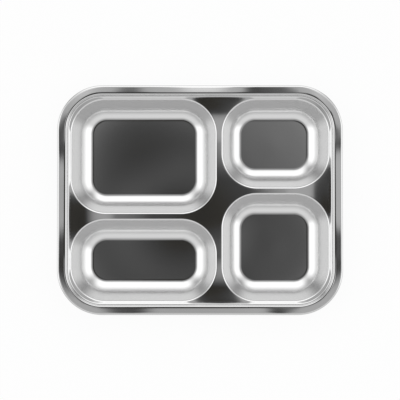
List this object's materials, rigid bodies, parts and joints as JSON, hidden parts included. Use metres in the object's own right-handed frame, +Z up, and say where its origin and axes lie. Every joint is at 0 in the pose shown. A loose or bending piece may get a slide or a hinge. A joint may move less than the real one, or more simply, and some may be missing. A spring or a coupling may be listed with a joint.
{
  "type": "divided cafeteria tray",
  "caption": "Pressed stainless steel meal tray with deep rounded wells of unlike sizes, a stepped rim and an edge rolled round a stiffening wire.",
  "frame": {"origin": "middle of the tray's outline, on the table that the four well floors stand on", "axes": "+X along the long side, +Y towards the side with the large and the small well, +Z up out of the wells"},
  "size_m": [0.286, 0.23, 0.0311],
  "materials": {
    "stainless_sheet": "satin wells and rim flange, bright polished deck and step",
    "stainless_wire": "drawn"
  },
  "bodies": {
    "root": {"pressed_tray": "stainless_sheet", "rim_wire": "stainless_wire"}
  },
  "joints": []
}
